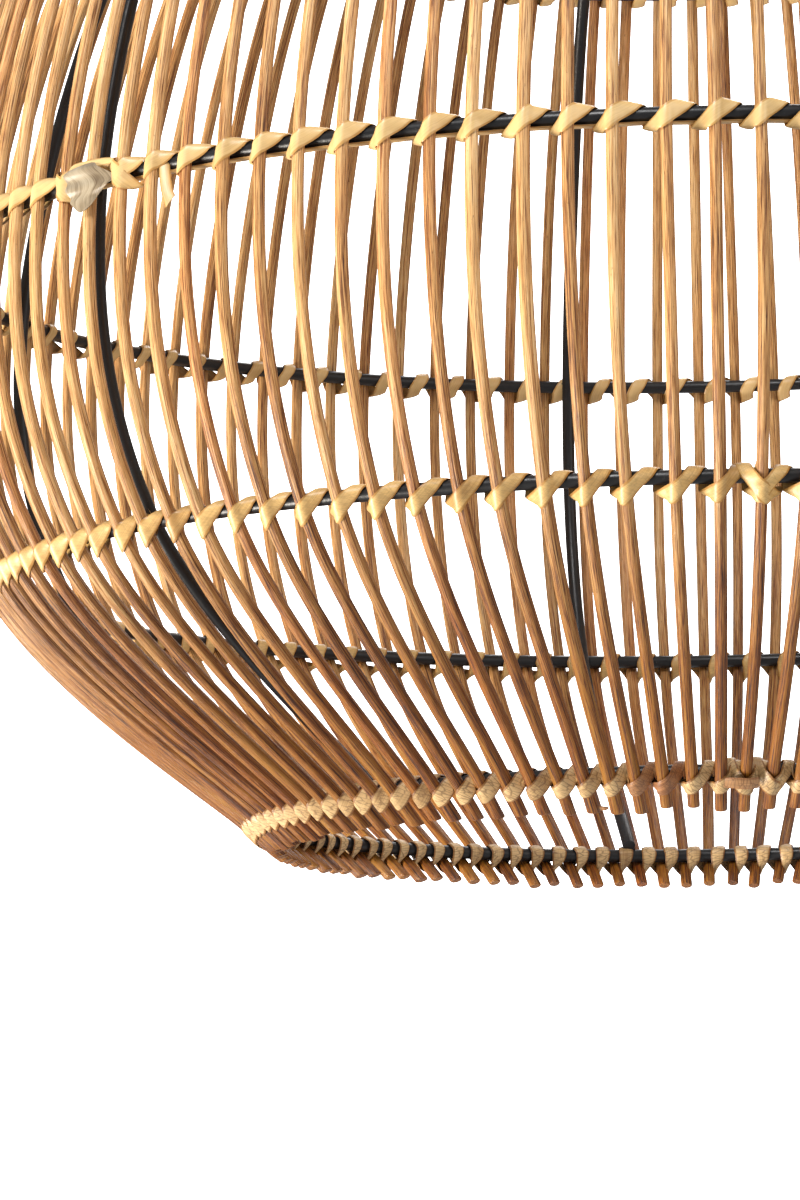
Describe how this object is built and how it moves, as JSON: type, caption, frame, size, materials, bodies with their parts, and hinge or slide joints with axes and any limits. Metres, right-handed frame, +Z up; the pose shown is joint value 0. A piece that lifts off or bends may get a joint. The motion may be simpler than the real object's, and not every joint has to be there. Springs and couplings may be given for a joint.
{
  "type": "pendant ceiling light",
  "caption": "Round lantern-shaped pendant light: upright cane rods bound with peel strip to black wire hoops and ribs, hung from a screw-cap lampholder with an opal bulb.",
  "frame": {"origin": "on the vertical axis at the cord inlet, in the top face of the cord grip", "axes": "+Z up along the axis of the shade; -Y is the front"},
  "size_m": [0.5382, 0.5382, 0.468],
  "materials": {
    "rattan_cane": "matt, natural brown cane with fine lengthwise grooves",
    "rattan_peel": "satin, pale straw peel strip",
    "black_lacquer": "satin black lacquer on steel wire",
    "black_plastic": "satin moulded thermoset",
    "white_ceramic": "glazed insulating insert",
    "brass": "bare stamped brass",
    "nickel_plate": "nickel plate",
    "opal_glass": "opal white glass"
  },
  "bodies": {
    "lampholder": {"cord_grip": "black_plastic", "threaded_nipple": "nickel_plate", "lampholder_cap": "black_plastic", "lampholder_sleeve": "black_plastic", "contact_insert": "white_ceramic", "screw_shell": "brass", "centre_contact": "brass", "side_contact": "brass", "terminal_screw_live": "nickel_plate", "terminal_screw_neutral": "nickel_plate"},
    "shade_ring_nut": {"shade_ring_nut": "black_plastic"},
    "bulb": {"bulb_cap": "nickel_plate", "bulb_insulator": "black_plastic", "bulb_tip_contact": "brass", "bulb_glass": "opal_glass"},
    "shade": {"spider_ring": "black_lacquer", "spider_arm_1": "black_lacquer", "spider_arm_2": "black_lacquer", "spider_arm_3": "black_lacquer", "top_hoop": "black_lacquer", "top_binding": "rattan_peel", "shoulder_hoop": "black_lacquer", "shoulder_binding": "rattan_peel", "upper_hoop": "black_lacquer", "upper_binding": "rattan_peel", "belly_hoop": "black_lacquer", "belly_binding": "rattan_peel", "bottom_hoop": "black_lacquer", "bottom_binding": "rattan_peel", "rib_1": "black_lacquer", "rib_2": "black_lacquer", "rib_3": "black_lacquer", "rib_4": "black_lacquer", "rib_5": "black_lacquer", "rib_6": "black_lacquer", "cane_panel_01": "rattan_cane", "cane_panel_02": "rattan_cane", "cane_panel_03": "rattan_cane", "cane_panel_04": "rattan_cane", "cane_panel_05": "rattan_cane", "cane_panel_06": "rattan_cane", "cane_panel_07": "rattan_cane", "cane_panel_08": "rattan_cane", "cane_panel_09": "rattan_cane", "cane_panel_10": "rattan_cane", "cane_panel_11": "rattan_cane", "cane_panel_12": "rattan_cane", "cane_panel_13": "rattan_cane", "cane_panel_14": "rattan_cane", "cane_panel_15": "rattan_cane", "cane_panel_16": "rattan_cane", "cane_panel_17": "rattan_cane", "cane_panel_18": "rattan_cane", "cane_panel_19": "rattan_cane"}
  },
  "joints": [
    {"name": "bulb_out", "type": "slide", "parent": "lampholder", "child": "bulb", "axis": [0, 0, -1], "range_m": [0, 0.03]},
    {"name": "ring_nut_down", "type": "slide", "parent": "lampholder", "child": "shade_ring_nut", "axis": [0, 0, -1], "range_m": [0, 0.015]},
    {"name": "shade_turn", "type": "hinge", "parent": "lampholder", "child": "shade", "pos_m": [0, 0, -0.054], "axis": [0, 0, 1], "continuous": true}
  ]
}
